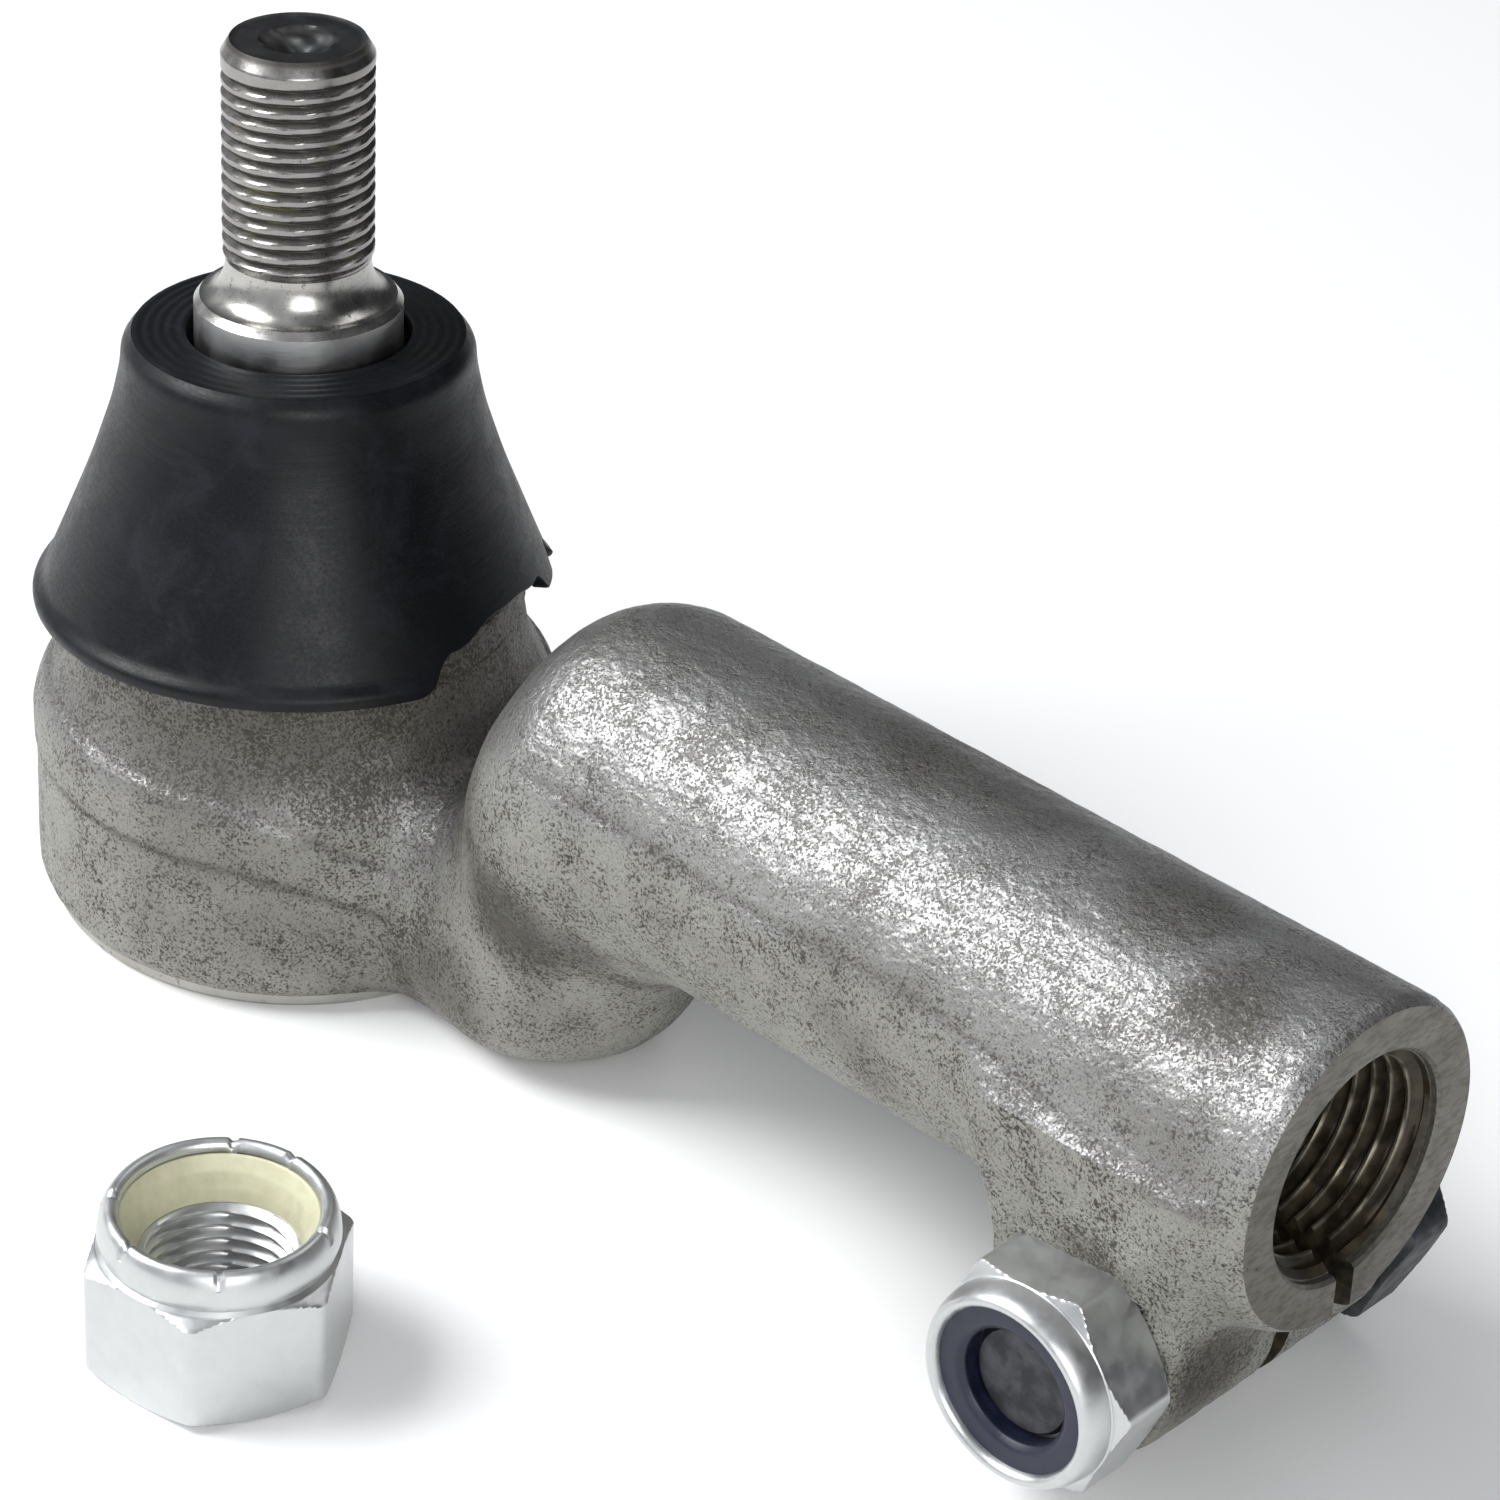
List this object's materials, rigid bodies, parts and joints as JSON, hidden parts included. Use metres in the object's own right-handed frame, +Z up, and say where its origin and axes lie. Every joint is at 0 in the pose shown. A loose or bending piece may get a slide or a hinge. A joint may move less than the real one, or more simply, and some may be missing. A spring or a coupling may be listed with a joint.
{
  "type": "tie rod end",
  "caption": "Ball-joint tie rod end with an offset forged housing, cone-shaped dust boot, threaded stud, split clamped rod socket and lock nuts.",
  "frame": {"origin": "axis of the ball socket at the bottom face of the ball housing", "axes": "+Z up, square to the bottom face, on the side of the threaded stud; +X along the rod socket, out of its open threaded mouth"},
  "size_m": [0.2163, 0.1305, 0.1231],
  "materials": {
    "forged_steel": "shot-blasted forging with pits",
    "liner_polymer": "satin",
    "seat_polymer": "satin",
    "spring_steel": "oiled",
    "plate_steel": "pressed, bare",
    "seal_rubber": "matt",
    "ground_steel": "turned and ground, oiled",
    "boot_rubber": "satin black",
    "dark_steel": "black finish",
    "zinc_plate": "bright zinc",
    "navy_nylon": "satin",
    "ivory_nylon": "satin"
  },
  "bodies": {
    "housing_body": {"housing": "forged_steel", "lower_seat": "seat_polymer", "preload_spring": "spring_steel", "cover_plate": "plate_steel", "cover_seal": "seal_rubber", "retaining_ring": "spring_steel"},
    "liner_body": {"ball_liner": "liner_polymer"},
    "boot_body": {"boot": "boot_rubber"},
    "stud_body": {"ball_stud": "ground_steel"},
    "clamp_bolt_body": {"clamp_bolt": "dark_steel"},
    "clamp_nut_body": {"clamp_nut": "zinc_plate", "clamp_nut_insert": "navy_nylon"},
    "stud_nut_body": {"stud_nut": "zinc_plate", "stud_nut_insert": "ivory_nylon"}
  },
  "joints": [
    {"name": "stud_tilt_along", "type": "hinge", "parent": "housing_body", "child": "liner_body", "pos_m": [0, 0, 0.027], "axis": [0, 1, 0], "range_deg": [-10, 18]},
    {"name": "stud_tilt_across", "type": "hinge", "parent": "liner_body", "child": "boot_body", "pos_m": [0, 0, 0.027], "axis": [1, 0, 0], "range_deg": [-10.8, 17.2]},
    {"name": "stud_spin", "type": "hinge", "parent": "boot_body", "child": "stud_body", "pos_m": [0, 0, 0.027], "axis": [-0.0696, 0.0565, 0.996], "continuous": true},
    {"name": "clamp_nut_off", "type": "slide", "parent": "housing_body", "child": "clamp_nut_body", "axis": [0, -1, 0], "range_m": [0, 0.03]},
    {"name": "clamp_bolt_out", "type": "slide", "parent": "housing_body", "child": "clamp_bolt_body", "axis": [0, 1, 0], "range_m": [0, 0.056]},
    {"name": "stud_nut_lift", "type": "slide", "parent": "housing_body", "child": "stud_nut_body", "axis": [-0.3718, 0.4043, 0.8356], "range_m": [0, 0.2154]}
  ]
}
